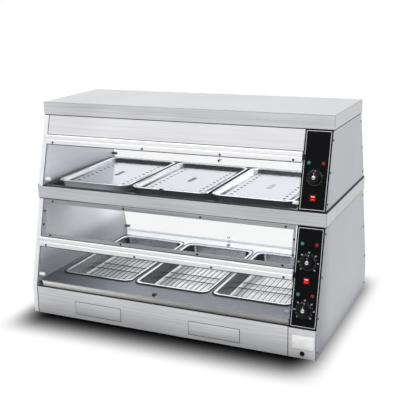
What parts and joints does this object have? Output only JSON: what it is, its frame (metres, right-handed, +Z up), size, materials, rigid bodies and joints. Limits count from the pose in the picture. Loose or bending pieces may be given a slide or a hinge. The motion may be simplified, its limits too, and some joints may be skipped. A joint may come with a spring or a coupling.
{
  "type": "hot food display case",
  "caption": "Two-tier heated food display case with sloping glass flaps front and rear, lift-out pans and trays, and a side pillar with thermostats and switches.",
  "frame": {"origin": "on the floor under the middle of the case, midway between its sides and between its front and rear", "axes": "+X to the right seen from the front (towards the control pillar), +Y to the rear, +Z up"},
  "size_m": [1.2, 0.774, 0.85],
  "materials": {
    "stainless": "satin brushed",
    "stainless_bright": "bright brushed",
    "stainless_deck": "polished",
    "pan_steel": "polished",
    "aluminium": "bright anodised",
    "glass": "clear",
    "quartz": "frosted",
    "panel_black": "satin",
    "black_plastic": "moulded",
    "black_screw": "black oxide",
    "nylon_white": "moulded",
    "ceramic": "glazed",
    "lamp_lens": "clear lens",
    "rocker_red": "lit",
    "chrome_wire": "plated",
    "insert_white": "satin",
    "heater_sheath": "oxidised",
    "rubber": "moulded"
  },
  "bodies": {
    "case": {"base_plate": "stainless", "feet": "rubber", "front_kick": "stainless", "rear_kick": "stainless", "control_kick": "stainless", "bonding_terminal": "black_plastic", "cable_gland": "black_plastic", "lower_left_panel": "stainless", "lower_right_panel": "stainless", "left_liners": "stainless", "right_liners": "stainless", "lower_deck": "stainless_deck", "pan_well": "stainless", "heating_elements": "heater_sheath", "window_frames": "stainless", "window_panes": "glass", "hinge_rails": "aluminium", "hinge_pivots": "black_plastic", "flap_rests": "nylon_white", "middle_slab": "stainless", "ceiling_panels": "stainless", "upper_deck": "stainless_deck", "upper_left_panel": "stainless", "upper_right_panel": "stainless", "fascias": "stainless_bright", "top_cap": "stainless_bright", "heat_lamps": "quartz", "lamp_holders": "ceramic", "upper_control_panel": "panel_black", "lower_control_panel": "panel_black", "pillar_backs": "stainless", "indicator_lamps": "lamp_lens", "thermostats": "heater_sheath", "rocker_housings": "black_plastic", "casing_screws": "black_screw"},
    "front_upper_flap": {"front_upper_flap_rail": "aluminium", "front_upper_flap_glass": "glass"},
    "rear_upper_flap": {"rear_upper_flap_rail": "aluminium", "rear_upper_flap_glass": "glass"},
    "front_lower_flap": {"front_lower_flap_rail": "aluminium", "front_lower_flap_glass": "glass"},
    "rear_lower_flap": {"rear_lower_flap_rail": "aluminium", "rear_lower_flap_glass": "glass"},
    "upper_thermostat_knob": {"upper_thermostat_knob": "black_plastic"},
    "pan_thermostat_knob": {"pan_thermostat_knob": "black_plastic"},
    "air_thermostat_knob": {"air_thermostat_knob": "black_plastic"},
    "upper_rocker": {"upper_rocker": "rocker_red"},
    "lower_rocker": {"lower_rocker": "rocker_red"},
    "tray_left": {"tray_left": "pan_steel"},
    "tray_middle": {"tray_middle": "pan_steel"},
    "tray_right": {"tray_right": "pan_steel"},
    "insert_left": {"insert_left": "insert_white"},
    "insert_middle": {"insert_middle": "insert_white"},
    "insert_right": {"insert_right": "insert_white"},
    "pan_left": {"pan_left": "pan_steel"},
    "pan_middle": {"pan_middle": "pan_steel"},
    "pan_right": {"pan_right": "pan_steel"},
    "rack_left": {"rack_left": "chrome_wire"},
    "rack_middle": {"rack_middle": "chrome_wire"},
    "rack_right": {"rack_right": "chrome_wire"}
  },
  "joints": [
    {"name": "front_upper_flap_hinge", "type": "hinge", "parent": "case", "child": "front_upper_flap", "pos_m": [-0.039, -0.2364, 0.70146], "axis": [-1, 0, 0], "range_deg": [0, 90]},
    {"name": "front_lower_flap_hinge", "type": "hinge", "parent": "case", "child": "front_lower_flap", "pos_m": [-0.039, -0.33355, 0.29929], "axis": [-1, 0, 0], "range_deg": [0, 90]},
    {"name": "rear_upper_flap_hinge", "type": "hinge", "parent": "case", "child": "rear_upper_flap", "pos_m": [-0.039, 0.2364, 0.70146], "axis": [1, 0, 0], "range_deg": [0, 90]},
    {"name": "rear_lower_flap_hinge", "type": "hinge", "parent": "case", "child": "rear_lower_flap", "pos_m": [-0.039, 0.33355, 0.29929], "axis": [1, 0, 0], "range_deg": [0, 90]},
    {"name": "upper_thermostat_knob_turn", "type": "hinge", "parent": "case", "child": "upper_thermostat_knob", "pos_m": [0.546, -0.25049, 0.637], "axis": [0, 0.9601, -0.2797], "range_deg": [-135, 135]},
    {"name": "pan_thermostat_knob_turn", "type": "hinge", "parent": "case", "child": "pan_thermostat_knob", "pos_m": [0.546, -0.35836, 0.186], "axis": [0, 0.9678, -0.2516], "range_deg": [-135, 135]},
    {"name": "air_thermostat_knob_turn", "type": "hinge", "parent": "case", "child": "air_thermostat_knob", "pos_m": [0.546, -0.31598, 0.349], "axis": [0, 0.9678, -0.2516], "range_deg": [-135, 135]},
    {"name": "upper_rocker_tip", "type": "hinge", "parent": "case", "child": "upper_rocker", "pos_m": [0.546, -0.27337, 0.57098], "axis": [-1, 0, 0], "range_deg": [0, 14]},
    {"name": "lower_rocker_tip", "type": "hinge", "parent": "case", "child": "lower_rocker", "pos_m": [0.546, -0.33549, 0.28788], "axis": [-1, 0, 0], "range_deg": [0, 14]},
    {"name": "tray_left_lift", "type": "slide", "parent": "case", "child": "tray_left", "axis": [0, 0, 1], "range_m": [0, 0.06]},
    {"name": "insert_left_lift", "type": "slide", "parent": "tray_left", "child": "insert_left", "axis": [0, 0, 1], "range_m": [0, 0.04]},
    {"name": "pan_left_lift", "type": "slide", "parent": "case", "child": "pan_left", "axis": [0, 0, 1], "range_m": [0, 0.09]},
    {"name": "rack_left_lift", "type": "slide", "parent": "pan_left", "child": "rack_left", "axis": [0, 0, 1], "range_m": [0, 0.07]},
    {"name": "tray_middle_lift", "type": "slide", "parent": "case", "child": "tray_middle", "axis": [0, 0, 1], "range_m": [0, 0.06]},
    {"name": "insert_middle_lift", "type": "slide", "parent": "tray_middle", "child": "insert_middle", "axis": [0, 0, 1], "range_m": [0, 0.04]},
    {"name": "pan_middle_lift", "type": "slide", "parent": "case", "child": "pan_middle", "axis": [0, 0, 1], "range_m": [0, 0.09]},
    {"name": "rack_middle_lift", "type": "slide", "parent": "pan_middle", "child": "rack_middle", "axis": [0, 0, 1], "range_m": [0, 0.07]},
    {"name": "tray_right_lift", "type": "slide", "parent": "case", "child": "tray_right", "axis": [0, 0, 1], "range_m": [0, 0.06]},
    {"name": "insert_right_lift", "type": "slide", "parent": "tray_right", "child": "insert_right", "axis": [0, 0, 1], "range_m": [0, 0.04]},
    {"name": "pan_right_lift", "type": "slide", "parent": "case", "child": "pan_right", "axis": [0, 0, 1], "range_m": [0, 0.09]},
    {"name": "rack_right_lift", "type": "slide", "parent": "pan_right", "child": "rack_right", "axis": [0, 0, 1], "range_m": [0, 0.07]}
  ]
}
